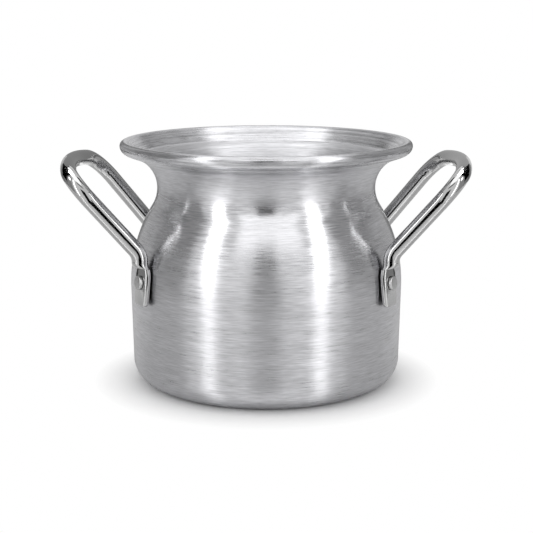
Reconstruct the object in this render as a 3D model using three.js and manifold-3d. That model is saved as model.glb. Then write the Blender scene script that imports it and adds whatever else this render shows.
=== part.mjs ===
// A cooking pot spun from sheet metal, with two loop handles of round rod held by rivets.
// Lengths are in millimetres and angles in degrees. The origin is the centre of the base's underside,
// +Z is up, and the handles stand out along +X and -X.

import * as THREE from 'three';
import { mergeVertices } from 'three/addons/utils/BufferGeometryUtils.js';
import Module from 'manifold-3d';

// Pot body: radii are of the outer face, measured from the pot's axis, and heights from the table
const sheetThickness = 1.5;
const bodyRadius = 70;
const baseCornerRadius = 12;
const wallLean = 1.2;
const shoulderHeight = 51;
const shoulderRise = 49.8;
const neckInset = 14.2;
const lowerNeckRadius = 18;
const upperNeckRadius = 16.7;

// Mouth and rolled rim: the flare ends in a crease, a flange rises from it and curls over and under
const flareAngle = 63.5;
const creaseBendRadius = 1.5;
const flangeAngle = 50;
const flangeLength = 8.15;
const crestBendRadius = 2.45;
const noseBendRadius = 4;
const curlAngle = 20;
const curlGap = 0.5;

// Handles: lengths and bends are those of the rod's centre line, and lengths run to the corners as if they were
// sharp. The grip bows outward, so that it leaves its corners at an angle.
const rodDiameter = 8;
const handleAngle = 49.6;
const handleLength = 49.6;
const gripWidth = 89.8;
const gripCornerRadius = 16;
const gripBowAngle = 13.8;
const gripBowSlope = 30;
const footBendRadius = 9;

// Paddles: the rod's ends, pressed flat. A paddle is widest about its rivet. It narrows a little to its end,
// and from a height above the rivet it narrows to the round rod.
const paddleWidth = 12.2;
const paddleEndWidth = 10.9;
const paddleThickness = 3.2;
const paddleBelowRivet = 11.3;
const paddleAboveRivet = 7.2;
const paddleNarrowsFrom = 3;
const paddleCornerRadius = 1.5;
const paddleEdgeRadius = 1.6;
const stepLength = 2.8;

// Rivets: the angle is measured round the pot from the handle's own direction
const rivetAngle = 32.5;
const rivetAboveShoulder = 7;
const shankDiameter = 4;
const headDiameter = 7;
const headHeight = 1.5;
const headEdgeRadius = 0.8;
const formedHeadHeight = 1.3;

// Fits
const seatGap = 0.3;
const holeClearance = 0.3;

// Fineness of the facets
const bodyFacets = 48;
const rivetFacets = 24;
const holeFacets = 24;
const facetAngle = 18;
const facetLength = 7;
const rodFacetAngle = 11;
const domeSteps = 4;
const edgeSteps = 3;
const sidesPerCorner = 4;
const paddleShares = [0.25, 0.5, 0.75, 0.9];
const stepShares = [0, 0.1, 0.35, 0.65, 1];
const mergeDistance = 1e-4;

// Colours and roughness of the metals
const bodyMetal = { color: 0xc9cacb, roughness: 0.32 };
const handleMetal = { color: 0xd9dbdd, roughness: 0.08 };
const rivetMetal = { color: 0xbfc1c3, roughness: 0.38 };

// What follows from the driving sizes
const radians = THREE.MathUtils.degToRad;
const halfSheet = sheetThickness / 2;
const rodRadius = rodDiameter / 2;
const paddleFace = seatGap + paddleThickness;
const rodLift = seatGap + rodRadius;

// The shoulder and the neck's lower half are two arcs that meet without a straight stretch
const arcRadiusSum = (shoulderRise ** 2 + neckInset ** 2) / (2 * neckInset);
const shoulderRadius = arcRadiusSum - lowerNeckRadius;
const shoulderTurn = 2 * THREE.MathUtils.radToDeg(Math.atan2(neckInset, shoulderRise));

// The wall's slope and radius where the rivets sit, on the shoulder's arc
const rivetHeight = shoulderHeight + rivetAboveShoulder;
const seatLean = Math.asin(rivetAboveShoulder / shoulderRadius);
const seatRadius = bodyRadius - shoulderRadius * (1 - Math.cos(seatLean));

const wasm = await Module();
wasm.setup();

// Merges the shared corners of a geometry and leaves out triangles that have shrunk to a line
function closedGeometry(geometry) {
  const bare = new THREE.BufferGeometry();
  bare.setAttribute('position', geometry.getAttribute('position'));
  bare.setIndex(geometry.getIndex());
  const merged = mergeVertices(bare, mergeDistance);
  const index = merged.getIndex().array;
  const kept = [];
  for (let i = 0; i < index.length; i += 3) {
    const [a, b, c] = [index[i], index[i + 1], index[i + 2]];
    if (a !== b && b !== c && c !== a) kept.push(a, b, c);
  }
  merged.setIndex(kept);
  return merged;
}

function toSolid(geometry) {
  const closed = closedGeometry(geometry);
  const vertProperties = Float32Array.from(closed.getAttribute('position').array);
  const triVerts = Uint32Array.from(closed.getIndex().array);
  return new wasm.Manifold(new wasm.Mesh({ numProp: 3, vertProperties, triVerts }));
}

function toGeometry(solid) {
  const mesh = solid.getMesh();
  const geometry = new THREE.BufferGeometry();
  geometry.setAttribute('position', new THREE.BufferAttribute(Float32Array.from(mesh.vertProperties), 3));
  geometry.setIndex(Array.from(mesh.triVerts));
  return geometry;
}

function cutAway(geometry, cutters) {
  let solid = toSolid(geometry);
  for (const cutter of cutters) solid = solid.subtract(toSolid(cutter));
  const cut = toGeometry(solid);
  cut.computeVertexNormals();
  return cut;
}

// Follows the middle of a sheet through straight runs and bends, and notes both of its faces on the way.
// The left face is the inside of the pot. A positive bend turns left.
class SheetPath {
  constructor(startHeight) {
    this.place = new THREE.Vector2(0, startHeight);
    this.heading = 0;
    this.leftFace = [];
    this.rightFace = [];
    this.mark();
  }

  along() {
    return new THREE.Vector2(Math.cos(this.heading), Math.sin(this.heading));
  }

  toTheRight() {
    return new THREE.Vector2(Math.sin(this.heading), -Math.cos(this.heading));
  }

  rightPoint() {
    return this.place.clone().addScaledVector(this.toTheRight(), halfSheet);
  }

  mark() {
    this.rightFace.push(this.rightPoint());
    this.leftFace.push(this.place.clone().addScaledVector(this.toTheRight(), -halfSheet));
  }

  run(length) {
    this.place.addScaledVector(this.along(), length);
    this.mark();
  }

  bend(middleRadius, degrees) {
    const turn = radians(degrees);
    const side = Math.sign(turn) * middleRadius;
    const centre = this.place.clone().addScaledVector(this.toTheRight(), -side);
    const byAngle = Math.abs(degrees) / facetAngle;
    const byLength = Math.abs(turn) * middleRadius / facetLength;
    const steps = Math.ceil(Math.max(byAngle, byLength, 1));
    const start = this.heading;
    for (let i = 1; i <= steps; i++) {
      this.heading = start + turn * i / steps;
      this.place = centre.clone().addScaledVector(this.toTheRight(), side);
      this.mark();
    }
  }
}

// The body's outline, from the middle of the base out to the edge of the curl and back on the other face
function bodyOutline() {
  const lean = radians(wallLean);
  const cornerMiddle = baseCornerRadius - halfSheet;
  const shoulderMiddle = shoulderRadius - halfSheet;
  const wallRise = shoulderHeight - halfSheet - cornerMiddle * (1 - Math.sin(lean))
    - shoulderMiddle * Math.sin(lean);
  const wallLength = wallRise / Math.cos(lean);
  const cornerReach = cornerMiddle * Math.cos(lean);
  const wallReach = wallLength * Math.sin(lean) + shoulderMiddle * (1 - Math.cos(lean));

  const sheet = new SheetPath(halfSheet);
  sheet.run(bodyRadius - halfSheet - cornerReach - wallReach);
  sheet.bend(cornerMiddle, 90 - wallLean);
  sheet.run(wallLength);
  sheet.bend(shoulderMiddle, wallLean + shoulderTurn);
  sheet.bend(lowerNeckRadius + halfSheet, -shoulderTurn);
  sheet.bend(upperNeckRadius + halfSheet, -flareAngle);
  sheet.bend(creaseBendRadius + halfSheet, flangeAngle + flareAngle - 90);
  sheet.run(flangeLength);

  const flangeEnd = sheet.rightPoint();
  const awayFromFlange = sheet.toTheRight();
  sheet.bend(crestBendRadius - halfSheet, -90 - flangeAngle);
  sheet.bend(noseBendRadius - halfSheet, curlAngle - 90);

  // The curl's straight end stops just short of the flange's hidden face
  const clearOfFlange = sheet.rightPoint().sub(flangeEnd).dot(awayFromFlange);
  const approach = sheet.along().dot(awayFromFlange);
  sheet.run((curlGap - clearOfFlange) / approach);
  return [...sheet.rightFace, ...sheet.leftFace.reverse()];
}

// A rivet's seat on the wall's outer face, with its axes across the paddle, up the wall and straight out of it
function seatFrame(azimuth) {
  const angle = radians(azimuth);
  const level = new THREE.Vector3(Math.cos(angle), Math.sin(angle), 0);
  const upright = new THREE.Vector3(0, 0, 1);
  const [plumb, tilt] = [Math.cos(seatLean), Math.sin(seatLean)];
  const outward = level.clone().multiplyScalar(plumb).addScaledVector(upright, tilt);
  const upward = upright.clone().multiplyScalar(plumb).addScaledVector(level, -tilt);
  const across = upward.clone().cross(outward);
  const origin = level.multiplyScalar(seatRadius).setZ(rivetHeight);
  return new THREE.Matrix4().makeBasis(across, upward, outward).setPosition(origin);
}

// The hole for a rivet's shank, reaching the given distances inside and outside the wall's outer face
function rivetHole(azimuth, inward, outward) {
  const radius = shankDiameter / 2 + holeClearance;
  const hole = new THREE.CylinderGeometry(radius, radius, inward + outward, holeFacets);
  hole.rotateX(Math.PI / 2);
  hole.translate(0, 0, (outward - inward) / 2);
  return hole.applyMatrix4(seatFrame(azimuth));
}

function bodyGeometry() {
  const shell = new THREE.LatheGeometry(bodyOutline(), bodyFacets);
  shell.rotateX(Math.PI / 2);
  const azimuths = [rivetAngle, -rivetAngle, 180 + rivetAngle, 180 - rivetAngle];
  const reach = sheetThickness + rodRadius;
  return cutAway(shell, azimuths.map((azimuth) => rivetHole(azimuth, reach, rodRadius)));
}

// A rounded oblong as points round its outline, with its lower side at a fixed depth below the rod's centre
function section(halfWidth, height, cornerRadius) {
  const radius = Math.min(cornerRadius, halfWidth, height / 2);
  const middle = height / 2 - rodRadius;
  const points = [];
  for (let corner = 0; corner < 4; corner++) {
    const side = corner === 0 || corner === 3 ? 1 : -1;
    const top = corner < 2 ? 1 : -1;
    for (let i = 0; i < sidesPerCorner; i++) {
      const angle = Math.PI / 2 * (corner + (i + 0.5) / sidesPerCorner);
      const x = side * (halfWidth - radius) + radius * Math.cos(angle);
      const y = middle + top * (height / 2 - radius) + radius * Math.sin(angle);
      points.push(new THREE.Vector2(x, y));
    }
  }
  return points;
}

const roundSection = section(rodRadius, rodDiameter, rodRadius);

// Half the paddle's width at a height above its rivet
function paddleHalfWidth(height) {
  const endShare = Math.min(0, height / paddleBelowRivet) ** 2;
  const rodShare = THREE.MathUtils.smoothstep(height, paddleNarrowsFrom, paddleAboveRivet + stepLength);
  const lowerWidth = THREE.MathUtils.lerp(paddleWidth, paddleEndWidth, endShare);
  return THREE.MathUtils.lerp(lowerWidth / 2, rodRadius, rodShare);
}

// The paddle's stations, each a height above the rivet and the section there, from the lower end upward
function paddleStations() {
  const stations = [];
  for (let i = 0; i <= edgeSteps; i++) {
    const turn = Math.PI / 2 * i / edgeSteps;
    const inset = paddleCornerRadius * (1 - Math.sin(turn));
    const rise = paddleCornerRadius * (1 - Math.cos(turn));
    const height = rise - paddleBelowRivet;
    const outline = section(paddleHalfWidth(height) - inset, paddleThickness, paddleEdgeRadius);
    stations.push({ height, outline });
  }
  for (const share of paddleShares) {
    const height = THREE.MathUtils.lerp(paddleCornerRadius - paddleBelowRivet, paddleAboveRivet, share);
    const outline = section(paddleHalfWidth(height), paddleThickness, paddleEdgeRadius);
    stations.push({ height, outline });
  }
  for (const share of stepShares) {
    const swell = Math.sqrt(1 - (1 - share) ** 2);
    const height = paddleAboveRivet + stepLength * share;
    const thickness = THREE.MathUtils.lerp(paddleThickness, rodDiameter, swell);
    const edgeRadius = THREE.MathUtils.lerp(paddleEdgeRadius, rodRadius, swell);
    stations.push({ height, outline: section(paddleHalfWidth(height), thickness, edgeRadius) });
  }
  return stations;
}

// Points along a round bend that joins two straight lines at a corner
function bendPoints(before, corner, after, radius) {
  const arriving = corner.clone().sub(before).normalize();
  const leaving = after.clone().sub(corner).normalize();
  const turn = arriving.angleTo(leaving);
  const start = corner.clone().addScaledVector(arriving, -radius * Math.tan(turn / 2));
  const inward = leaving.clone().addScaledVector(arriving, -Math.cos(turn)).normalize();
  const steps = Math.ceil(THREE.MathUtils.radToDeg(turn) / rodFacetAngle);
  const points = [];
  for (let i = 0; i <= steps; i++) {
    const angle = turn * i / steps;
    points.push({
      place: start.clone()
        .addScaledVector(arriving, radius * Math.sin(angle))
        .addScaledVector(inward, radius * (1 - Math.cos(angle))),
      along: arriving.clone().multiplyScalar(Math.cos(angle)).addScaledVector(inward, Math.sin(angle)),
    });
  }
  return points;
}

// The direction of the grip where it still has the given angle to turn before it runs level along Y
function gripDirection(angle) {
  const bowed = Math.sin(angle);
  const slope = radians(gripBowSlope);
  return new THREE.Vector3(bowed * Math.cos(slope), Math.cos(angle), bowed * Math.sin(slope));
}

// Points along the bowed grip, from the end of a corner's bend to the middle of the handle
function gripPoints(start) {
  const bow = radians(gripBowAngle);
  const radius = -start.y / Math.sin(bow);
  const steps = Math.ceil(-start.y / facetLength);
  const points = [];
  for (let i = 1; i <= steps; i++) {
    const angle = bow * (1 - i / steps);
    const chord = 2 * radius * Math.sin((bow - angle) / 2);
    points.push({
      place: start.clone().addScaledVector(gripDirection((bow + angle) / 2), chord),
      along: gripDirection(angle),
    });
  }
  return points;
}

// Where the upright foot of the rod and the leaning leg would meet without a bend. The bend starts right
// above the step, and its length depends on the angle between the two lines.
function footCorner(seat, upward) {
  const slope = new THREE.Vector3(Math.cos(radians(handleAngle)), 0, Math.sin(radians(handleAngle)));
  const bendReach = footBendRadius * Math.tan(upward.angleTo(slope) / 2);
  const height = paddleAboveRivet + stepLength + bendReach;
  return new THREE.Vector3(0, height, rodLift).applyMatrix4(seat);
}

// The rings of half a handle, from the paddle on the -Y side to the middle of the grip
function halfHandleRings() {
  const seat = seatFrame(-rivetAngle);
  const upward = new THREE.Vector3().setFromMatrixColumn(seat, 1);
  const outward = new THREE.Vector3().setFromMatrixColumn(seat, 2);

  const foot = footCorner(seat, upward);
  const reach = handleLength * Math.cos(radians(handleAngle));
  const rise = handleLength * Math.sin(radians(handleAngle));
  const corner = new THREE.Vector3(foot.x + reach, -gripWidth / 2, foot.z + rise);
  const gripLine = gripDirection(radians(gripBowAngle)).add(corner);
  const cornerBend = bendPoints(foot, corner, gripLine, gripCornerRadius);
  const paddleEnd = new THREE.Vector3(0, -paddleBelowRivet, rodLift).applyMatrix4(seat);

  const stations = paddleStations().map(({ height, outline }) => ({
    place: new THREE.Vector3(0, height, rodLift).applyMatrix4(seat),
    along: upward.clone(),
    outline,
  }));
  const rounds = [
    ...bendPoints(paddleEnd, foot, corner, footBendRadius).slice(1),
    ...cornerBend,
    ...gripPoints(cornerBend[cornerBend.length - 1].place),
  ];
  for (const { place, along } of rounds) stations.push({ place, along, outline: roundSection });

  // The section turns with the rod, without twisting
  const turn = new THREE.Quaternion();
  let previous = upward;
  return stations.map(({ place, along, outline }) => {
    outward.applyQuaternion(turn.setFromUnitVectors(previous, along));
    const across = outward.clone().cross(along);
    previous = along;
    return outline.map((p) => place.clone().addScaledVector(across, p.x).addScaledVector(outward, p.y));
  });
}

// Joins rings of equal count into a closed skin
function loft(rings) {
  const count = rings[0].length;
  const positions = rings.flat().flatMap((p) => [p.x, p.y, p.z]);
  const index = [];
  for (let i = 0; i + 1 < rings.length; i++) {
    for (let k = 0; k < count; k++) {
      const a = i * count + k;
      const b = i * count + (k + 1) % count;
      index.push(a, b, b + count, a, b + count, a + count);
    }
  }
  const last = (rings.length - 1) * count;
  for (let k = 1; k + 1 < count; k++) {
    index.push(0, k + 1, k);
    index.push(last, last + k, last + k + 1);
  }
  const geometry = new THREE.BufferGeometry();
  geometry.setAttribute('position', new THREE.Float32BufferAttribute(positions, 3));
  geometry.setIndex(index);
  return geometry;
}

function handleGeometry() {
  const half = halfHandleRings();
  const mirrored = half.slice(0, -1).reverse().map((ring) => ring.map((p) => p.clone().setY(-p.y)));
  const azimuths = [-rivetAngle, rivetAngle];
  const holes = azimuths.map((azimuth) => rivetHole(azimuth, rodRadius, paddleFace + rodRadius));
  return cutAway(loft([...half, ...mirrored]), holes);
}

// A rivet along +Z: the formed head inside the pot, the shank, and the button head outside the paddle.
// The formed head keeps clear of the wall's inner face, which curves towards the head's rim.
function rivetGeometry() {
  const headRadius = headDiameter / 2;
  const shankRadius = shankDiameter / 2;
  const wallCurve = headRadius ** 2 / (2 * (seatRadius - sheetThickness));
  const formedSeat = -sheetThickness - seatGap - wallCurve;
  const buttonSeat = paddleFace + seatGap;
  const edgeRadius = Math.min(headEdgeRadius, headHeight);

  // The formed head is a low dome, part of a ball
  const domeHalfAngle = 2 * Math.atan2(formedHeadHeight, headRadius);
  const domeRadius = headRadius / Math.sin(domeHalfAngle);
  const profile = [];
  for (let i = 0; i <= domeSteps; i++) {
    const angle = domeHalfAngle * i / domeSteps;
    const depth = domeRadius * (Math.cos(angle) - Math.cos(domeHalfAngle));
    profile.push(new THREE.Vector2(domeRadius * Math.sin(angle), formedSeat - depth));
  }
  profile.push(new THREE.Vector2(shankRadius, formedSeat));
  profile.push(new THREE.Vector2(shankRadius, buttonSeat));
  profile.push(new THREE.Vector2(headRadius, buttonSeat));
  for (let i = 0; i <= edgeSteps; i++) {
    const turn = Math.PI / 2 * i / edgeSteps;
    const inset = edgeRadius * (1 - Math.cos(turn));
    const drop = edgeRadius * (1 - Math.sin(turn));
    profile.push(new THREE.Vector2(headRadius - inset, buttonSeat + headHeight - drop));
  }
  profile.push(new THREE.Vector2(0, buttonSeat + headHeight));

  const rivet = new THREE.LatheGeometry(profile, rivetFacets);
  rivet.rotateX(Math.PI / 2);
  const closed = closedGeometry(rivet);
  closed.computeVertexNormals();
  return closed;
}

function named(name, geometry, metal) {
  const material = new THREE.MeshStandardMaterial({ ...metal, metalness: 1 });
  const mesh = new THREE.Mesh(geometry, material);
  mesh.name = name;
  return mesh;
}

// One handle with its two rivets, on the +X side
function handleSide(handleName, rivetNames) {
  const side = new THREE.Group();
  side.add(named(handleName, handleGeometry(), handleMetal));
  const azimuths = [-rivetAngle, rivetAngle];
  azimuths.forEach((azimuth, i) => {
    const rivet = named(rivetNames[i], rivetGeometry(), rivetMetal);
    rivet.applyMatrix4(seatFrame(azimuth));
    side.add(rivet);
  });
  return side;
}

const pot = new THREE.Group();
pot.add(named('pot_body', bodyGeometry(), bodyMetal));
pot.add(handleSide('right_handle', ['right_front_rivet', 'right_rear_rivet']));
const leftSide = handleSide('left_handle', ['left_rear_rivet', 'left_front_rivet']);
leftSide.rotation.z = Math.PI;
pot.add(leftSide);

export default pot;
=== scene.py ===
"""The looks of a two-handled cooking pot: a brushed spun body, polished rod handles and satin rivets."""

import math

import bpy
from mathutils import Matrix, Quaternion, Vector


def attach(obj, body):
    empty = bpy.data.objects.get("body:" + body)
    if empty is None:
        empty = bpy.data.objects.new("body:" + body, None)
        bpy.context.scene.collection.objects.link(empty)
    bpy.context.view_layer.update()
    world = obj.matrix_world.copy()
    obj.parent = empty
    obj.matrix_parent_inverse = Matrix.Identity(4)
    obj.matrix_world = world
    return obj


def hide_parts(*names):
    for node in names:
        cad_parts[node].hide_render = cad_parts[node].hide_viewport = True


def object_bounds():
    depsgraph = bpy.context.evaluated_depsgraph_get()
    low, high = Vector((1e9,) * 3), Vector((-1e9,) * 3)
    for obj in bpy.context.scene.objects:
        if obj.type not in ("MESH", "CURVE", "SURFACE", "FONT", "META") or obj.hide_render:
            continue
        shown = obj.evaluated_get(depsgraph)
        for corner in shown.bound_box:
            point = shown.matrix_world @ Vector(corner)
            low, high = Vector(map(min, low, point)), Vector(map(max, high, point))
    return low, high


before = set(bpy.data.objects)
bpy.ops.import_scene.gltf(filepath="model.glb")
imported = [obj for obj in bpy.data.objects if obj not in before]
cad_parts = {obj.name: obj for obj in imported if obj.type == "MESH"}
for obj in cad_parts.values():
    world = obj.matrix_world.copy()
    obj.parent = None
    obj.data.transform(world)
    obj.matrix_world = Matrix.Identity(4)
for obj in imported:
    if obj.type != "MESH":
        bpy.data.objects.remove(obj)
cad_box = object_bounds()

MM = 0.001

# Pot body, in millimetres and degrees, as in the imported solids
SHEET = 1.5
BODY_RADIUS = 70
BASE_CORNER_RADIUS = 12
WALL_LEAN = 1.2
SHOULDER_HEIGHT = 51
SHOULDER_RISE = 49.8
NECK_INSET = 14.2
LOWER_NECK_RADIUS = 18
UPPER_NECK_RADIUS = 16.7
FLARE_ANGLE = 63.5
CREASE_BEND_RADIUS = 1.5
FLANGE_ANGLE = 50
FLANGE_LENGTH = 8.15
CREST_BEND_RADIUS = 2.45
NOSE_BEND_RADIUS = 4
CURL_ANGLE = 20
CURL_GAP = 0.5

# Handles and their paddles
ROD_DIAMETER = 8
HANDLE_ANGLE = 49.6
HANDLE_LENGTH = 49.6
GRIP_WIDTH = 89.8
GRIP_CORNER_RADIUS = 16
GRIP_BOW_ANGLE = 13.8
GRIP_BOW_SLOPE = 30
FOOT_BEND_RADIUS = 9
PADDLE_WIDTH = 12.2
PADDLE_END_WIDTH = 10.9
PADDLE_THICKNESS = 3.2
PADDLE_BELOW_RIVET = 11.3
PADDLE_ABOVE_RIVET = 7.2
PADDLE_NARROWS_FROM = 3
PADDLE_CORNER_RADIUS = 1.5
PADDLE_EDGE_RADIUS = 1.6
STEP_LENGTH = 2.8

# Rivets and fits
RIVET_ANGLE = 32.5
RIVET_ABOVE_SHOULDER = 7
SHANK_DIAMETER = 4
HEAD_DIAMETER = 7
HEAD_HEIGHT = 1.5
HEAD_EDGE_RADIUS = 0.8
FORMED_HEAD_HEIGHT = 1.3
SEAT_GAP = 0.3

# Fineness of the meshes
BODY_SEGMENTS = 224
BEND_STEP = 4
RUN_STEP = 2.5
ROD_SIDES_PER_CORNER = 12
ROD_BEND_STEP = 3
PADDLE_END_STEPS = 6
PADDLE_FLAT_STEPS = 16
PADDLE_STEP_STEPS = 12
RIVET_SEGMENTS = 64
RIVET_DOME_STEPS = 12
RIVET_EDGE_STEPS = 8
CARD_STEPS = 24
SHARP_EDGE = 50

# A point of a profile nearer to the axis than this is on it
ON_AXIS = 1e-6

# The way walked on the sheet's inner face is counted from here, so that its brush lines are its own
INNER_FACE_SHIFT = 400

# Lines round the body, each kind with its length and height in millimetres
FINE_LINES = (7, 0.36)
MIDDLE_LINES = (14, 0.9)
BROAD_LINES = (60, 7)
RIM_RINGS = (90, 0.9)

# The share of the fine lines in the brush lines, and how deep these are in millimetres
FINE_SHARE = 0.6
BRUSH_DEPTH = 0.04

# Pairs of heights in millimetres between which the body's finish changes
SHOULDER_STARTS = (55, 70)
UPPER_SHOULDER_STARTS = (72, 86)
UPPER_SHOULDER_ENDS = (96, 100)
NECK_STARTS = (98.5, 105)
NECK_ENDS = (113, 117)
RIM_STARTS = (110, 117)

# The body's tones and roughness. Those of a place are a factor or a change to those of the lines
LINE_TONES = (0.4, 0.68)
BROAD_TONES = (0.94, 1.06)
RING_TONES = (-0.3, 0.3)
NECK_TONE = 1.12
BODY_BLUE = 1.03
LINE_ROUGHNESS = (0.26, 0.38)
BROAD_ROUGHNESS = (-0.02, 0.02)
SHOULDER_ROUGHNESS = -0.03
UPPER_SHOULDER_ROUGHNESS = -0.08
NECK_ROUGHNESS = 0.17

# The two sides seen from the camera, and the levels of the cards and glows beside them
SIDE_SIGNS = {"left": -1, "right": 1}
SIDE_LEVELS = {"left": 0.36, "right": 0.42}
BACK_GLOWS = {"left": 0.52, "right": 0.8}
HIGH_GLOWS = {"left": 1.0, "right": 2.0}

# Azimuths in degrees from the camera's side at which the cards beside and behind the pot meet
SIDE_CARD_EDGES = (65, 90, 112, 147, 161)
BACK_CARD_EDGES = (SIDE_CARD_EDGES[-1], 360 - SIDE_CARD_EDGES[-1])

# The table lies this far below the base, in millimetres
FLOOR_DROP = 0.05

# Watts per square metre of a soft light of level 1, which looks a little over half as bright as white
LAMP_POWER = 1.8

HALF_SHEET = SHEET / 2
ROD_RADIUS = ROD_DIAMETER / 2
PADDLE_FACE = SEAT_GAP + PADDLE_THICKNESS
ROD_LIFT = SEAT_GAP + ROD_RADIUS
ARC_RADIUS_SUM = (SHOULDER_RISE**2 + NECK_INSET**2) / (2 * NECK_INSET)
SHOULDER_RADIUS = ARC_RADIUS_SUM - LOWER_NECK_RADIUS
SHOULDER_TURN = 2 * math.degrees(math.atan2(NECK_INSET, SHOULDER_RISE))
SEAT_LEAN = math.asin(RIVET_ABOVE_SHOULDER / SHOULDER_RADIUS)
SEAT_RADIUS = BODY_RADIUS - SHOULDER_RADIUS * (1 - math.cos(SEAT_LEAN))
RIVET_HEIGHT = SHOULDER_HEIGHT + RIVET_ABOVE_SHOULDER


# Meshes

def add_mesh(name, points, faces, material, along=None):
    """A smooth mesh object from points in millimetres, each of which may keep a way along a profile."""
    mesh = bpy.data.meshes.new(name)
    mesh.from_pydata([Vector(p) * MM for p in points], [], faces)
    mesh.materials.append(material)
    mesh.polygons.foreach_set("use_smooth", [True] * len(mesh.polygons))
    mesh.set_sharp_from_angle(angle=math.radians(SHARP_EDGE))
    if along is not None:
        mesh.attributes.new("along", "FLOAT", "POINT").data.foreach_set("value", along)
    mesh_object = bpy.data.objects.new(name, mesh)
    bpy.context.scene.collection.objects.link(mesh_object)
    return mesh_object


def lathe(profile, segments):
    """Points and faces of a profile of (radius, height) turned about Z. Points on the axis become poles."""
    points, faces, rings = [], [], []
    for radius, height in profile:
        if radius < ON_AXIS:
            rings.append([len(points)] * segments)
            points.append((0, 0, height))
            continue
        rings.append(list(range(len(points), len(points) + segments)))
        for i in range(segments):
            angle = 2 * math.pi * i / segments
            points.append((radius * math.cos(angle), radius * math.sin(angle), height))
    for low, high in zip(rings, rings[1:]):
        for i in range(segments):
            j = (i + 1) % segments
            corners = dict.fromkeys((low[i], low[j], high[j], high[i]))
            faces.append(tuple(corners))
    return points, faces


class SheetPath:
    """Follows the middle of a sheet through runs and bends, and notes both faces and the way walked."""

    def __init__(self, height):
        self.place = Vector((0, height))
        self.heading = 0
        self.walked = 0
        self.outer = []
        self.inner = []
        self.mark()

    def along(self):
        return Vector((math.cos(self.heading), math.sin(self.heading)))

    def to_the_right(self):
        return Vector((math.sin(self.heading), -math.cos(self.heading)))

    def right_point(self):
        return self.place + self.to_the_right() * HALF_SHEET

    def left_point(self):
        return self.place - self.to_the_right() * HALF_SHEET

    def mark(self):
        self.outer.append((self.right_point(), self.walked))
        self.inner.append((self.left_point(), self.walked + INNER_FACE_SHIFT))

    def run(self, length):
        steps = max(1, math.ceil(length / RUN_STEP))
        for _ in range(steps):
            self.place = self.place + self.along() * (length / steps)
            self.walked += length / steps
            self.mark()

    def bend(self, middle_radius, degrees):
        turn = math.radians(degrees)
        side = math.copysign(middle_radius, turn)
        centre = self.place - self.to_the_right() * side
        length = abs(turn) * middle_radius
        steps = math.ceil(max(abs(degrees) / BEND_STEP, length / RUN_STEP, 1))
        start = self.heading
        for i in range(1, steps + 1):
            self.heading = start + turn * i / steps
            self.place = centre + self.to_the_right() * side
            self.walked += length / steps
            self.mark()


def body_outline():
    """The body's profile from the base's middle to the curl's edge and back inside, with the way walked."""
    lean = math.radians(WALL_LEAN)
    corner = BASE_CORNER_RADIUS - HALF_SHEET
    shoulder = SHOULDER_RADIUS - HALF_SHEET
    wall_rise = (SHOULDER_HEIGHT - HALF_SHEET - corner * (1 - math.sin(lean))
                 - shoulder * math.sin(lean))
    wall_length = wall_rise / math.cos(lean)
    wall_reach = wall_length * math.sin(lean) + shoulder * (1 - math.cos(lean))

    sheet = SheetPath(HALF_SHEET)
    sheet.run(BODY_RADIUS - HALF_SHEET - corner * math.cos(lean) - wall_reach)
    sheet.bend(corner, 90 - WALL_LEAN)
    sheet.run(wall_length)
    sheet.bend(shoulder, WALL_LEAN + SHOULDER_TURN)
    sheet.bend(LOWER_NECK_RADIUS + HALF_SHEET, -SHOULDER_TURN)
    sheet.bend(UPPER_NECK_RADIUS + HALF_SHEET, -FLARE_ANGLE)
    sheet.bend(CREASE_BEND_RADIUS + HALF_SHEET, FLANGE_ANGLE + FLARE_ANGLE - 90)
    sheet.run(FLANGE_LENGTH)
    flange_end = sheet.right_point()
    away_from_flange = sheet.to_the_right()
    sheet.bend(CREST_BEND_RADIUS - HALF_SHEET, -90 - FLANGE_ANGLE)
    sheet.bend(NOSE_BEND_RADIUS - HALF_SHEET, CURL_ANGLE - 90)
    clear_of_flange = (sheet.right_point() - flange_end).dot(away_from_flange)
    sheet.run((CURL_GAP - clear_of_flange) / sheet.along().dot(away_from_flange))
    return sheet.outer + sheet.inner[::-1]


def make_body(material):
    """The spun body. The crest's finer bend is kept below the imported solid's top."""
    outline = body_outline()
    top = cad_box[1][2] / MM
    points, faces = lathe([(place.x, min(place.y, top)) for place, _ in outline], BODY_SEGMENTS)
    along = []
    for place, walked in outline:
        along += [walked] * (1 if place.x < ON_AXIS else BODY_SEGMENTS)
    return add_mesh("pot_shell", points, faces, material, along)


def seat_frame(azimuth):
    """A rivet's seat on the wall's outer face: across the paddle, up the wall and straight out of it."""
    angle = math.radians(azimuth)
    level = Vector((math.cos(angle), math.sin(angle), 0))
    upright = Vector((0, 0, 1))
    outward = level * math.cos(SEAT_LEAN) + upright * math.sin(SEAT_LEAN)
    upward = upright * math.cos(SEAT_LEAN) - level * math.sin(SEAT_LEAN)
    origin = level * SEAT_RADIUS + upright * RIVET_HEIGHT
    return origin, upward.cross(outward), upward, outward


def section(half_width, height, corner_radius):
    """A rounded oblong as points round its outline, its lower side a rod's radius below the centre line."""
    radius = min(corner_radius, half_width, height / 2)
    middle = height / 2 - ROD_RADIUS
    points = []
    for corner in range(4):
        side = 1 if corner in (0, 3) else -1
        top = 1 if corner < 2 else -1
        for i in range(ROD_SIDES_PER_CORNER):
            angle = math.pi / 2 * (corner + (i + 0.5) / ROD_SIDES_PER_CORNER)
            points.append((side * (half_width - radius) + radius * math.cos(angle),
                           middle + top * (height / 2 - radius) + radius * math.sin(angle)))
    return points


def between(low, high, share):
    """The value at a share of the way from low to high."""
    return low + (high - low) * share


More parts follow.
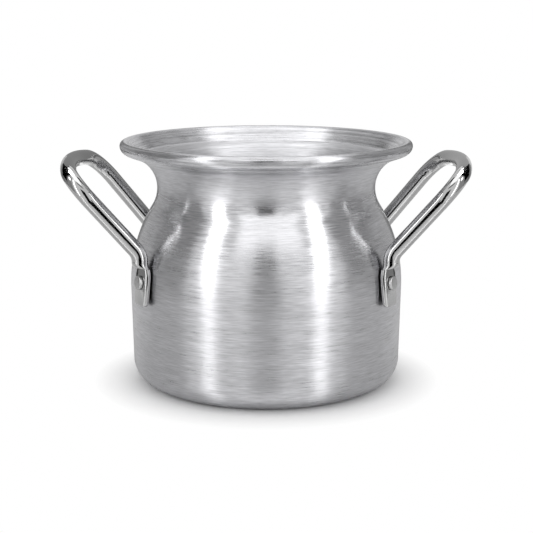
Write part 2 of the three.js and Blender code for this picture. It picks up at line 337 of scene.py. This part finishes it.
def paddle_half_width(height):
    """Half the paddle's width at a height above its rivet, where it is widest."""
    end_share = min(0, height / PADDLE_BELOW_RIVET) ** 2
    lower_width = between(PADDLE_WIDTH, PADDLE_END_WIDTH, end_share)
    narrowing = (height - PADDLE_NARROWS_FROM) / (PADDLE_ABOVE_RIVET + STEP_LENGTH - PADDLE_NARROWS_FROM)
    narrowing = min(max(narrowing, 0), 1)
    rod_share = narrowing**2 * (3 - 2 * narrowing)
    return between(lower_width / 2, ROD_RADIUS, rod_share)


def paddle_stations():
    """Heights above the rivet and the sections there, from the paddle's end up to the round rod."""
    stations = []
    for i in range(PADDLE_END_STEPS + 1):
        turn = math.pi / 2 * i / PADDLE_END_STEPS
        inset = PADDLE_CORNER_RADIUS * (1 - math.sin(turn))
        height = PADDLE_CORNER_RADIUS * (1 - math.cos(turn)) - PADDLE_BELOW_RIVET
        outline = section(paddle_half_width(height) - inset, PADDLE_THICKNESS, PADDLE_EDGE_RADIUS)
        stations.append((height, outline))
    flat_start = PADDLE_CORNER_RADIUS - PADDLE_BELOW_RIVET
    for i in range(1, PADDLE_FLAT_STEPS):
        height = between(flat_start, PADDLE_ABOVE_RIVET, i / PADDLE_FLAT_STEPS)
        outline = section(paddle_half_width(height), PADDLE_THICKNESS, PADDLE_EDGE_RADIUS)
        stations.append((height, outline))
    for i in range(PADDLE_STEP_STEPS + 1):
        turn = math.pi / 2 * i / PADDLE_STEP_STEPS
        share = 1 - math.cos(turn)
        swell = math.sin(turn)
        height = PADDLE_ABOVE_RIVET + STEP_LENGTH * share
        thickness = between(PADDLE_THICKNESS, ROD_DIAMETER, swell)
        edge_radius = between(PADDLE_EDGE_RADIUS, ROD_RADIUS, swell)
        stations.append((height, section(paddle_half_width(height), thickness, edge_radius)))
    return stations


def bend_points(before, corner, after, radius):
    """Places and directions along a round bend that joins two straight lines at a corner."""
    arriving = (corner - before).normalized()
    leaving = (after - corner).normalized()
    turn = arriving.angle(leaving)
    start = corner - arriving * radius * math.tan(turn / 2)
    inward = (leaving - arriving * math.cos(turn)).normalized()
    steps = math.ceil(math.degrees(turn) / ROD_BEND_STEP)
    points = []
    for i in range(steps + 1):
        angle = turn * i / steps
        place = start + arriving * radius * math.sin(angle) + inward * radius * (1 - math.cos(angle))
        points.append((place, arriving * math.cos(angle) + inward * math.sin(angle)))
    return points


def grip_direction(angle):
    """The grip's direction where it is turned by an angle from straight across, in its sloping plane."""
    slope = math.radians(GRIP_BOW_SLOPE)
    bowed = math.sin(angle)
    return Vector((bowed * math.cos(slope), math.cos(angle), bowed * math.sin(slope)))


def grip_points(start):
    """Places and directions along the bowed grip, from the end of a corner's bend to the handle's middle."""
    bow = math.radians(GRIP_BOW_ANGLE)
    radius = -start.y / math.sin(bow)
    steps = math.ceil(-start.y / RUN_STEP)
    points = []
    for i in range(1, steps + 1):
        angle = bow * (1 - i / steps)
        chord = 2 * radius * math.sin((bow - angle) / 2)
        points.append((start + grip_direction((bow + angle) / 2) * chord, grip_direction(angle)))
    return points


def straight_points(start, end):
    """Places along the straight stretch between two bends, without its ends."""
    length = (end - start).length
    steps = math.ceil(length / RUN_STEP)
    direction = (end - start).normalized()
    return [(start + direction * (length * i / steps), direction) for i in range(1, steps)]


def half_handle_rings():
    """Rings of points from the paddle on the -Y side to the middle of the grip."""
    origin, _, upward, outward = seat_frame(-RIVET_ANGLE)
    slope = math.radians(HANDLE_ANGLE)
    lean = Vector((math.cos(slope), 0, math.sin(slope)))

    def on_seat(height):
        return origin + upward * height + outward * ROD_LIFT

    bend_reach = FOOT_BEND_RADIUS * math.tan(upward.angle(lean) / 2)
    foot = on_seat(PADDLE_ABOVE_RIVET + STEP_LENGTH + bend_reach)
    corner = foot + lean * HANDLE_LENGTH
    corner.y = -GRIP_WIDTH / 2
    grip_line = corner + grip_direction(math.radians(GRIP_BOW_ANGLE))
    foot_bend = bend_points(on_seat(-PADDLE_BELOW_RIVET), foot, corner, FOOT_BEND_RADIUS)
    corner_bend = bend_points(foot, corner, grip_line, GRIP_CORNER_RADIUS)

    stations = [(on_seat(height), upward, outline) for height, outline in paddle_stations()]
    round_section = section(ROD_RADIUS, ROD_DIAMETER, ROD_RADIUS)
    leg = straight_points(foot_bend[-1][0], corner_bend[0][0])
    path = foot_bend[1:] + leg + corner_bend + grip_points(corner_bend[-1][0])
    stations += [(place, direction, round_section) for place, direction in path]

    rings = []
    previous = upward
    facing = outward.copy()
    for place, direction, outline in stations:
        facing.rotate(previous.rotation_difference(direction))
        across = facing.cross(direction)
        previous = direction
        rings.append([place + across * x + facing * y for x, y in outline])
    return rings


def make_handle(name, material, half_turn):
    """The right handle, or the left one where it is turned about the pot's axis."""
    half = half_handle_rings()
    mirrored = [[Vector((p.x, -p.y, p.z)) for p in ring] for ring in reversed(half[:-1])]
    rings = half + mirrored
    turn = Matrix.Rotation(half_turn, 3, "Z")
    count = len(rings[0])
    points = [turn @ p for ring in rings for p in ring]
    faces = []
    for i in range(len(rings) - 1):
        for k in range(count):
            a = i * count + k
            b = i * count + (k + 1) % count
            faces.append((a, b, b + count, a + count))
    faces.append(tuple(reversed(range(count))))
    faces.append(tuple(range(len(points) - count, len(points))))
    return add_mesh(name, points, faces, material)


def rivet_profile():
    """From the top of the formed head inside the pot, along the shank, to the top of the button head."""
    head = HEAD_DIAMETER / 2
    shank = SHANK_DIAMETER / 2
    wall_curve = head**2 / (2 * (SEAT_RADIUS - SHEET))
    formed_seat = -SHEET - SEAT_GAP - wall_curve
    button_seat = PADDLE_FACE + SEAT_GAP
    half_angle = 2 * math.atan2(FORMED_HEAD_HEIGHT, head)
    dome = head / math.sin(half_angle)
    profile = []
    for i in range(RIVET_DOME_STEPS + 1):
        angle = half_angle * i / RIVET_DOME_STEPS
        depth = dome * (math.cos(angle) - math.cos(half_angle))
        profile.append((dome * math.sin(angle), formed_seat - depth))
    profile += [(shank, formed_seat), (shank, button_seat), (head, button_seat)]
    for i in range(RIVET_EDGE_STEPS + 1):
        turn = math.pi / 2 * i / RIVET_EDGE_STEPS
        inset = HEAD_EDGE_RADIUS * (1 - math.cos(turn))
        drop = HEAD_EDGE_RADIUS * (1 - math.sin(turn))
        profile.append((head - inset, button_seat + HEAD_HEIGHT - drop))
    profile.append((0, button_seat + HEAD_HEIGHT))
    return profile


def make_rivet(name, material, azimuth):
    origin, across, upward, outward = seat_frame(azimuth)
    points, faces = lathe(rivet_profile(), RIVET_SEGMENTS)
    placed = [origin + across * x + upward * y + outward * z for x, y, z in points]
    return add_mesh(name, placed, faces, material)


# Materials

class Tree:
    """Short ways to add and join shader nodes."""

    def __init__(self, owner):
        owner.use_nodes = True
        self.nodes = owner.node_tree.nodes
        self.links = owner.node_tree.links
        self.nodes.clear()

    def add(self, kind, inputs=(), **settings):
        node = self.nodes.new(kind)
        for key, value in settings.items():
            setattr(node, key, value)
        for key, value in dict(inputs).items():
            if isinstance(value, bpy.types.NodeSocket):
                self.links.new(value, node.inputs[key])
            else:
                node.inputs[key].default_value = value
        return node

    def math(self, operation, a, b):
        return self.add("ShaderNodeMath", {0: a, 1: b}, operation=operation).outputs[0]

    def vector(self, operation, a, b=(0, 0, 0)):
        return self.add("ShaderNodeVectorMath", {0: a, 1: b}, operation=operation).outputs[0]

    def place(self):
        """The place on the object, in metres."""
        return self.add("ShaderNodeTexCoord").outputs["Object"]

    def noise(self, vector, scale=1.0, detail=2.0):
        inputs = {"Vector": vector, "Scale": scale, "Detail": detail}
        return self.add("ShaderNodeTexNoise", inputs).outputs["Fac"]

    def spread(self, value, low, high, from_low=0.3, from_high=0.7):
        """The value stretched so that its range, by default that of a noise, covers low to high."""
        inputs = {"Value": value, "From Min": from_low, "From Max": from_high, "To Min": low, "To Max": high}
        return self.add("ShaderNodeMapRange", inputs).outputs["Result"]

    def band(self, value, rise, fall):
        """1 between two places and 0 outside, each change spread over a pair of values."""
        rising = self.spread(value, 0, 1, *rise)
        falling = self.spread(value, 1, 0, *fall)
        return self.math("MINIMUM", rising, falling)

    def grey(self, value, blue=1.0):
        """A grey whose blue may be a little stronger or weaker."""
        tinted = self.math("MULTIPLY", value, blue)
        return self.add("ShaderNodeCombineColor", {0: value, 1: value, 2: tinted}).outputs[0]

    def bump(self, height, strength, depth):
        """A surface that rises with a height from 0 to 1, by a depth in millimetres."""
        inputs = {"Strength": strength, "Distance": depth * MM, "Height": height}
        return self.add("ShaderNodeBump", inputs).outputs[0]

    def finish(self, shader, kind="ShaderNodeOutputMaterial"):
        self.links.new(shader.outputs[0], self.add(kind).inputs["Surface"])


def round_lines(tree, length, height):
    """A noise of lines round the pot's axis, of that length and height in millimetres."""
    flat = tree.vector("MULTIPLY", tree.place(), (1, 1, 0))
    ring = tree.add(
        "ShaderNodeVectorMath",
        {0: tree.vector("NORMALIZE", flat), "Scale": BODY_RADIUS / length},
        operation="SCALE",
    ).outputs[0]
    along = tree.add("ShaderNodeAttribute", attribute_name="along").outputs["Fac"]
    lift = tree.add("ShaderNodeCombineXYZ", {2: tree.math("DIVIDE", along, height)}).outputs[0]
    return tree.noise(tree.vector("ADD", ring, lift))


def brush_lines(tree):
    """Fine brush lines over longer and broader ones."""
    fine = tree.math("MULTIPLY", round_lines(tree, *FINE_LINES), FINE_SHARE)
    middle = tree.math("MULTIPLY", round_lines(tree, *MIDDLE_LINES), 1 - FINE_SHARE)
    return tree.math("ADD", fine, middle)


def height_in_millimetres(tree):
    upright = tree.add("ShaderNodeSeparateXYZ", {0: tree.place()}).outputs[2]
    return tree.math("DIVIDE", upright, MM)


def body_tone(tree, lines, broad, height, on_neck):
    """Bright and dark lines, with turned rings on the rim and a paler neck."""
    rings = tree.spread(round_lines(tree, *RIM_RINGS), *RING_TONES)
    on_rim = tree.spread(height, 0, 1, *RIM_STARTS)
    turned = tree.math("MULTIPLY", on_rim, rings)
    tone = tree.math("MULTIPLY", tree.spread(lines, *LINE_TONES), tree.spread(broad, *BROAD_TONES))
    tone = tree.math("MULTIPLY", tone, tree.math("ADD", turned, 1))
    return tree.math("MULTIPLY", tone, tree.spread(on_neck, 1, NECK_TONE, 0, 1))


def body_roughness(tree, lines, broad, height, on_neck):
    """Smooth and rough lines, with a smoother shoulder and a rougher neck."""
    on_upper_shoulder = tree.band(height, UPPER_SHOULDER_STARTS, UPPER_SHOULDER_ENDS)
    changes = (
        tree.spread(broad, *BROAD_ROUGHNESS),
        tree.spread(height, 0, SHOULDER_ROUGHNESS, *SHOULDER_STARTS),
        tree.math("MULTIPLY", on_upper_shoulder, UPPER_SHOULDER_ROUGHNESS),
        tree.math("MULTIPLY", on_neck, NECK_ROUGHNESS),
    )
    roughness = tree.spread(lines, *LINE_ROUGHNESS)
    for change in changes:
        roughness = tree.math("ADD", roughness, change)
    return roughness


def brushed_body():
    """Spun sheet with brush lines round the pot, uneven in tone and gloss."""
    material = bpy.data.materials.new("brushed_body")
    tree = Tree(material)
    lines = brush_lines(tree)
    broad = round_lines(tree, *BROAD_LINES)
    height = height_in_millimetres(tree)
    on_neck = tree.band(height, NECK_STARTS, NECK_ENDS)
    tangent = tree.add("ShaderNodeTangent", direction_type="RADIAL", axis="Z")
    tree.finish(tree.add("ShaderNodeBsdfPrincipled", {
        "Base Color": tree.grey(body_tone(tree, lines, broad, height, on_neck), BODY_BLUE),
        "Metallic": 1.0,
        "Roughness": body_roughness(tree, lines, broad, height, on_neck),
        "Anisotropic": 0.78,
        "Anisotropic Rotation": 0.25,
        "Normal": tree.bump(lines, strength=1.0, depth=BRUSH_DEPTH),
        "Tangent": tangent.outputs[0],
    }))
    return material


def polished_handle():
    """Bright rod with faint smudges and fine specks."""
    material = bpy.data.materials.new("polished_handle")
    tree = Tree(material)
    smudges = tree.noise(tree.place(), scale=60, detail=3)
    specks = tree.noise(tree.place(), scale=900)
    smudge_roughness = tree.spread(smudges, low=0.05, high=0.09)
    speck_roughness = tree.spread(specks, low=0.0, high=0.03)
    tree.finish(tree.add("ShaderNodeBsdfPrincipled", {
        "Base Color": tree.grey(tree.spread(smudges, low=0.46, high=0.51)),
        "Metallic": 1.0,
        "Roughness": tree.math("ADD", smudge_roughness, speck_roughness),
        "Normal": tree.bump(smudges, strength=0.2, depth=0.02),
    }))
    return material


def satin_rivet():
    """Soft grey metal, dulled by the tool that set it."""
    material = bpy.data.materials.new("satin_rivet")
    tree = Tree(material)
    mottle = tree.noise(tree.place(), scale=700, detail=3)
    tree.finish(tree.add("ShaderNodeBsdfPrincipled", {
        "Base Color": tree.grey(tree.spread(mottle, low=0.42, high=0.56)),
        "Metallic": 1.0,
        "Roughness": tree.spread(mottle, low=0.28, high=0.4),
        "Normal": tree.bump(mottle, strength=0.4, depth=0.04),
    }))
    return material


# Studio, in metres and in degrees from the camera's side, positive to the right

def seen_rays(tree):
    """1 for rays from the camera or off metal and glass, 0 for the light that spreads."""
    path = tree.add("ShaderNodeLightPath")
    both = tree.math("ADD", path.outputs["Is Camera Ray"], path.outputs["Is Glossy Ray"])
    return tree.math("ADD", both, path.outputs["Is Transmission Ray"])


def make_world(spread_level):
    """A room that looks white and gives off light of another level."""
    world = bpy.data.worlds.new("studio")
    bpy.context.scene.world = world
    tree = Tree(world)
    level = tree.spread(seen_rays(tree), spread_level, 1.0, from_low=0.0, from_high=1.0)
    background = tree.add("ShaderNodeBackground", {"Color": (1, 1, 1, 1), "Strength": level})
    tree.finish(background, "ShaderNodeOutputWorld")


def table_top(camera_white, metal_white):
    """White that keeps the pot's shadow in the camera's view and is glossy in the metal's view.

    In each view it turns plain white between two distances from the pot.
    """
    material = bpy.data.materials.new("table")
    tree = Tree(material)
    away = tree.add("ShaderNodeVectorMath", {0: tree.place()}, operation="LENGTH").outputs["Value"]
    white = tree.add("ShaderNodeEmission", {"Color": (1, 1, 1, 1)}).outputs[0]

    def turning_white(near, distances):
        share = tree.spread(away, 0, 1, *distances)
        return tree.add("ShaderNodeMixShader", {0: share, 1: near.outputs[0], 2: white}).outputs[0]

    matt = tree.add("ShaderNodeBsdfDiffuse", {"Color": (0.98, 0.98, 0.98, 1)})
    glossy = tree.add(
        "ShaderNodeBsdfPrincipled",
        {"Base Color": (0.9, 0.9, 0.9, 1), "Roughness": 0.1, "IOR": 3.6},
    )
    tree.finish(tree.add("ShaderNodeMixShader", {
        0: tree.add("ShaderNodeLightPath").outputs["Is Camera Ray"],
        1: turning_white(glossy, metal_white),
        2: turning_white(matt, camera_white),
    }))
    return material


def make_floor(reach, material):
    size = reach / MM
    outline = ((-size, -size), (size, -size), (size, size), (-size, size))
    corners = [(x, y, -FLOOR_DROP) for x, y in outline]
    floor = add_mesh("floor", corners, [(0, 1, 2, 3)], material)
    return floor


def around(azimuth, distance, height):
    angle = math.radians(azimuth)
    return Vector((distance * math.sin(angle), -distance * math.cos(angle), height))


def on_axis(height):
    return Vector((0, 0, height))


def add_light(name, place, target, width, height, level, pieces, roll=0, only_mirrored=False):
    """A flat soft light of an even level that lights one group of pieces.

    A light that is only mirrored adds nothing to the light that spreads on matt surfaces.
    """
    lamp = bpy.data.lights.new(name, "AREA")
    lamp.shape = "RECTANGLE"
    lamp.size = width
    lamp.size_y = height
    lamp.energy = LAMP_POWER * width * height * level
    light = bpy.data.objects.new(name, lamp)
    light.location = place
    light.rotation_mode = "QUATERNION"
    facing = (target - place).to_track_quat("-Z", "Y")
    light.rotation_quaternion = facing @ Quaternion((0, 0, 1), math.radians(roll))
    light.visible_camera = False
    light.visible_diffuse = not only_mirrored
    light.light_linking.receiver_collection = pieces
    bpy.context.scene.collection.objects.link(light)


def add_card(name, azimuths, distance, heights, level, pieces=None):
    """An upright card round the pot, of an even level, where 1 is white, that only shows in the metal.

    A card that is kept for one group of pieces is black to the others.
    """
    material = bpy.data.materials.new(name)
    tree = Tree(material)
    tree.finish(tree.add("ShaderNodeEmission", {"Color": (level, level, level, 1)}))
    points, faces = [], []
    for i in range(CARD_STEPS + 1):
        azimuth = between(*azimuths, i / CARD_STEPS)
        points += [around(azimuth, distance, height) / MM for height in heights]
        if i:
            a = 2 * i
            faces.append((a - 2, a, a + 1, a - 1))
    card = add_mesh(name, points, faces, material)
    card.visible_camera = False
    card.visible_diffuse = False
    card.visible_shadow = False
    if pieces:
        card.light_linking.receiver_collection = pieces


def group_of(name, pieces):
    group = bpy.data.collections.new(name)
    for piece in pieces:
        group.objects.link(piece)
    return group


def add_strips(satin, polished):
    """Two upright strips in front: broad for the satin pieces, and thin and further round for the handles."""
    aim = on_axis(0.03)
    for name, azimuth, roll in (("left_strip", -47.2, 6), ("right_strip", 47.9, -13)):
        add_light(
            name, around(azimuth, distance=0.45, height=0.25), aim,
            width=0.1, height=0.58, level=4.3, pieces=satin, roll=roll, only_mirrored=True,
        )
        add_light(
            "thin_" + name, around(azimuth * 1.1, distance=0.45, height=0.25), aim,
            width=0.04, height=0.58, level=8, pieces=polished, roll=roll,
        )


def add_wide_lights(satin, polished):
    """A tall light high in front, and one overhead for each kind of metal."""
    add_light(
        "front_top", around(3.5, distance=1.0, height=1.27), on_axis(1.27),
        width=1.3, height=1.24, level=1.5, pieces=satin, only_mirrored=True,
    )
    add_light(
        "overhead", Vector((0, 0.11, 1.05)), Vector((0, 0.11, 0)),
        width=0.7, height=0.78, level=1.4, pieces=satin,
    )
    add_light(
        "far_overhead", on_axis(4), on_axis(0),
        width=2.6, height=2.6, level=1.75, pieces=polished,
    )


def add_front_cards(satin):
    """Greys and whites in front, the dark place of the camera and a dark band high up."""
    add_card("front_middle", azimuths=(-12, 12), distance=0.35, heights=(0, 0.13), level=0.38, pieces=satin)
    add_card("front_left", azimuths=(-20, -12), distance=0.35, heights=(0, 0.2), level=1.0, pieces=satin)
    add_card("front_right", azimuths=(12, 20), distance=0.35, heights=(0, 0.2), level=1.0, pieces=satin)
    add_card("camera_black", azimuths=(-8.5, 8.5), distance=0.6, heights=(0.1, 0.42), level=0.02)
    add_card("far_front", azimuths=(-14, 14), distance=1.08, heights=(0.3, 1.0), level=1.0, pieces=satin)
    add_card("front_high", azimuths=(-30, 30), distance=0.5, heights=(0.85, 1.25), level=0.2)


def add_handle_lights(side, own):
    """What one handle mirrors: a bright light behind, a small one beside it and weaker glows."""
    sign = SIDE_SIGNS[side]
    add_light(
        side + "_back_light", around(134 * sign, distance=0.44, height=0.7), on_axis(0.08),
        width=0.34, height=0.6, level=14, pieces=own,
    )
    add_light(
        side + "_side_light", around(77 * sign, distance=0.43, height=0.345), Vector((0.12 * sign, 0, 0.13)),
        width=0.09, height=0.17, level=4.5, pieces=own,
    )
    add_light(
        side + "_back_glow", Vector((0.1 * sign, 0.37, 0.2)), Vector((0.1 * sign, 0, 0.2)),
        width=0.4, height=0.4, level=BACK_GLOWS[side], pieces=own,
    )
    add_light(
        side + "_high_glow", Vector((0.19 * sign, 0.37, 0.5)), Vector((0.19 * sign, 0, 0.5)),
        width=0.2, height=0.1, level=HIGH_GLOWS[side], pieces=own,
    )
    add_light(
        side + "_low_glow", around(137 * sign, distance=0.43, height=0.08), on_axis(0.08),
        width=0.36, height=0.2, level=0.5, pieces=own,
    )
    add_light(
        side + "_foot_glow", around(102 * sign, distance=0.43, height=0.06), on_axis(0.06),
        width=0.21, height=0.13, level=0.55, pieces=own,
    )


def add_side_surroundings(side, satin, rest):
    """High lights for the satin pieces, and grey cards, the first for all pieces.

    The other cards are black to that side's handle.
    """
    sign = SIDE_SIGNS[side]
    add_card(
        side + "_far_high", azimuths=(120 * sign, 150 * sign), distance=1.6, heights=(2.0, 4.2),
        level=1.0, pieces=satin,
    )
    add_light(
        side + "_high_light", around(90 * sign, distance=0.4, height=0.95), on_axis(0.1),
        width=0.3, height=0.16, level=3, pieces=satin, only_mirrored=True,
    )
    cards = (
        ("front_side", 0.7, SIDE_LEVELS[side], None),
        ("side", 0.9, SIDE_LEVELS[side], rest),
        ("far_side", 0.7, 0.5, rest),
        ("back", 0.5, 0.22, rest),
    )
    for (name, top, level, pieces), start, end in zip(cards, SIDE_CARD_EDGES, SIDE_CARD_EDGES[1:]):
        add_card(
            f"{side}_{name}", azimuths=(start * sign, end * sign), distance=0.45, heights=(0, top),
            level=level, pieces=pieces,
        )


def add_back_cards(satin):
    """Three cards behind the pot, one above the other, the highest for all pieces."""
    cards = (
        ("back_low", (0, 0.16), 0.65, satin),
        ("back_middle", (0.16, 0.38), 0.7, satin),
        ("back_high", (0.38, 0.66), 0.75, None),
    )
    for name, heights, level, pieces in cards:
        add_card(name, BACK_CARD_EDGES, distance=0.5, heights=heights, level=level, pieces=pieces)


def make_studio(satin_pieces, handles):
    """A white room whose lights are kept to the satin pieces and the table, to both handles or to one."""
    make_world(spread_level=0.85)
    table = table_top(camera_white=(0.069, 0.09), metal_white=(0.35, 0.6))
    floor = make_floor(reach=12, material=table)
    satin = group_of("satin_pieces", satin_pieces + [floor])
    polished = group_of("polished_pieces", handles.values())
    add_strips(satin, polished)
    add_wide_lights(satin, polished)
    add_front_cards(satin)
    for side, other in (("left", "right"), ("right", "left")):
        own = group_of(side + "_handle_group", [handles[side]])
        rest = group_of(side + "_other_pieces", satin_pieces + [floor, handles[other]])
        add_handle_lights(side, own)
        add_side_surroundings(side, satin, rest)
    add_back_cards(satin)


def make_camera():
    """The photograph's view: focal length in pixels of its frame, and the camera's turn about the pot."""
    frame_width = 533
    focal_pixels = 1328.4
    axis_offset = 0.3
    distance = 0.6907
    aim_height = 0.05836
    elevation = 0.2055
    turn = 0.0078
    data = bpy.data.cameras.new("camera")
    data.sensor_width = 36
    data.lens = data.sensor_width * focal_pixels / frame_width
    data.shift_x = axis_offset / frame_width
    back = Vector((
        math.sin(turn) * math.cos(elevation),
        -math.cos(turn) * math.cos(elevation),
        math.sin(elevation),
    ))
    camera = bpy.data.objects.new("camera", data)
    camera.location = on_axis(aim_height) + back * distance
    camera.rotation_mode = "QUATERNION"
    camera.rotation_quaternion = back.to_track_quat("Z", "Y")
    bpy.context.scene.collection.objects.link(camera)
    bpy.context.scene.camera = camera


def dress(piece, node):
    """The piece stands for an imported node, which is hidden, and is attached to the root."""
    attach(piece, "root")
    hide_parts(node)


def make_pot():
    """All pieces in place. Gives back the satin ones as a list and the handles by their side."""
    body = brushed_body()
    handle = polished_handle()
    rivet = satin_rivet()
    shell = make_body(body)
    dress(shell, "pot_body")
    satin_pieces = [shell]
    handles = {}
    for side, half_turn in (("right", 0), ("left", 180)):
        loop = make_handle(f"{side}_loop", handle, math.radians(half_turn))
        dress(loop, f"{side}_handle")
        handles[side] = loop
        for azimuth in (-RIVET_ANGLE, RIVET_ANGLE):
            turned = half_turn + azimuth
            end = "front" if math.sin(math.radians(turned)) < 0 else "rear"
            pin = make_rivet(f"{side}_{end}_pin", rivet, turned)
            dress(pin, f"{side}_{end}_rivet")
            satin_pieces.append(pin)
    return satin_pieces, handles


bpy.context.scene.view_settings.view_transform = "Standard"
make_camera()
make_studio(*make_pot())
